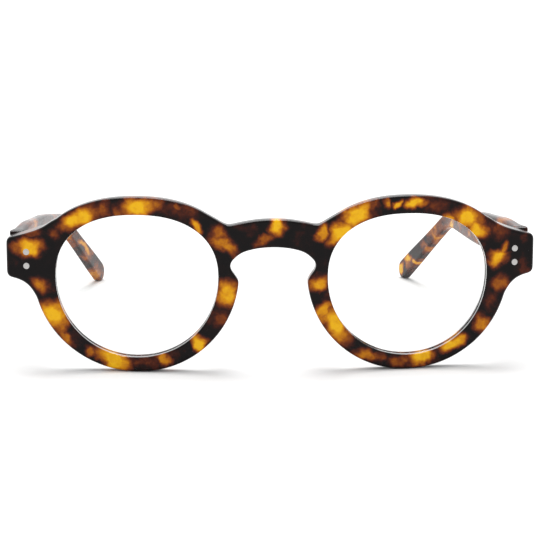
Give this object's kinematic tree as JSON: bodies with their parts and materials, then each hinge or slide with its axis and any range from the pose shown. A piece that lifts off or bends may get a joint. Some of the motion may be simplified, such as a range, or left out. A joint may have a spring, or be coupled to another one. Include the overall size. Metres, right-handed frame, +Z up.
{
  "type": "folding reading glasses",
  "caption": "Round acetate reading glasses with a keyhole bridge, clear lenses and two temples that fold on riveted five-barrel hinges.",
  "frame": {"origin": "on the surface the glasses stand on, under the centre of the overall box with the temples open", "axes": "+X to the right as seen from the front, which is the wearer's left, +Y back along the open temples, +Z up; the front looks along -Y"},
  "size_m": [0.14, 0.1448, 0.0465],
  "materials": {
    "tortoise_acetate": "polished tortoiseshell acetate, dark brown with amber patches",
    "pad_acetate": "polished amber-brown acetate",
    "lens_clear": "clear, polished, anti-reflective",
    "hinge_nickel": "satin nickel plate",
    "rivet_nickel": "ground flush, fine circular brushing",
    "core_steel": "drawn wire",
    "screw_steel": "polished"
  },
  "bodies": {
    "front": {"frame_front": "tortoise_acetate", "nose_pad_left": "pad_acetate", "nose_pad_right": "pad_acetate", "lens_left": "lens_clear", "lens_right": "lens_clear", "front_hinge_left": "hinge_nickel", "front_hinge_right": "hinge_nickel", "front_rivets_left": "rivet_nickel", "front_rivets_right": "rivet_nickel", "hinge_screw_left": "screw_steel", "hinge_screw_right": "screw_steel"},
    "temple_left": {"temple_left": "tortoise_acetate", "temple_core_left": "core_steel", "temple_hinge_left": "hinge_nickel", "temple_rivets_left": "rivet_nickel"},
    "temple_right": {"temple_right": "tortoise_acetate", "temple_core_right": "core_steel", "temple_hinge_right": "hinge_nickel", "temple_rivets_right": "rivet_nickel"}
  },
  "joints": [
    {"name": "temple_left_fold", "type": "hinge", "parent": "front", "child": "temple_left", "pos_m": [-0.0636, -0.05701, 0.02975], "axis": [0, 0, -1], "range_deg": [0, 78]},
    {"name": "temple_right_fold", "type": "hinge", "parent": "front", "child": "temple_right", "pos_m": [0.0636, -0.05701, 0.02975], "axis": [0, 0, 1], "range_deg": [0, 86]}
  ]
}
